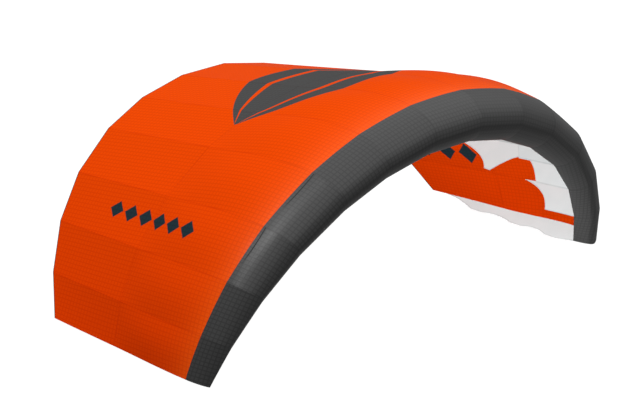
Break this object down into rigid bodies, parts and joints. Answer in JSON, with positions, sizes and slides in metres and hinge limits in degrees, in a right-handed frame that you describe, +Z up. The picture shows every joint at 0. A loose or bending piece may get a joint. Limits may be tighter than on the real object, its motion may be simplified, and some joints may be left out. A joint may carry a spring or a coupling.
{
  "type": "parawing",
  "caption": "Single-skin parawing canopy in its arched flying shape: orange top, hooked dark grey leading edge and scalloped off-white ribs inside; stands on its two tips.",
  "frame": {"origin": "on the floor, under the middle of the wing's box", "axes": "+X along the span towards one tip, +Y from the leading edge to the trailing edge, +Z up"},
  "size_m": [2.241, 1.4834, 0.9497],
  "materials": {
    "orange_cloth": "thin coated ripstop, slight sheen",
    "grey_cloth": "thin coated ripstop, slight sheen",
    "white_cloth": "firm coated ripstop, matt"
  },
  "bodies": {
    "root": {"front_panel_01": "orange_cloth", "front_panel_02": "orange_cloth", "front_panel_03": "orange_cloth", "front_panel_04": "orange_cloth", "front_panel_05": "orange_cloth", "front_panel_06": "orange_cloth", "front_panel_07": "orange_cloth", "front_panel_08": "orange_cloth", "front_panel_09": "orange_cloth", "front_panel_10": "orange_cloth", "front_panel_11": "orange_cloth", "front_panel_12": "orange_cloth", "front_panel_13": "orange_cloth", "nose_panel_01": "grey_cloth", "nose_panel_02": "grey_cloth", "nose_panel_03": "grey_cloth", "nose_panel_04": "grey_cloth", "nose_panel_05": "grey_cloth", "nose_panel_06": "grey_cloth", "nose_panel_07": "grey_cloth", "nose_panel_08": "grey_cloth", "nose_panel_09": "grey_cloth", "nose_panel_10": "grey_cloth", "nose_panel_11": "grey_cloth", "nose_panel_12": "grey_cloth", "nose_panel_13": "grey_cloth", "rear_panel_01": "orange_cloth", "rear_panel_02": "orange_cloth", "rear_panel_03": "orange_cloth", "rear_panel_04": "orange_cloth", "rear_panel_05": "orange_cloth", "rear_panel_06": "orange_cloth", "rear_panel_07": "orange_cloth", "rear_panel_08": "orange_cloth", "rear_panel_09": "orange_cloth", "rear_panel_10": "orange_cloth", "rear_panel_11": "orange_cloth", "rear_panel_12": "orange_cloth", "rear_panel_13": "orange_cloth", "rib_01": "white_cloth", "rib_02": "white_cloth", "rib_03": "white_cloth", "rib_04": "white_cloth", "rib_05": "white_cloth", "rib_06": "white_cloth", "rib_07": "white_cloth", "rib_08": "white_cloth", "rib_09": "white_cloth", "rib_10": "white_cloth", "rib_11": "white_cloth", "rib_12": "white_cloth", "rib_13": "white_cloth", "rib_14": "white_cloth"}
  },
  "joints": []
}
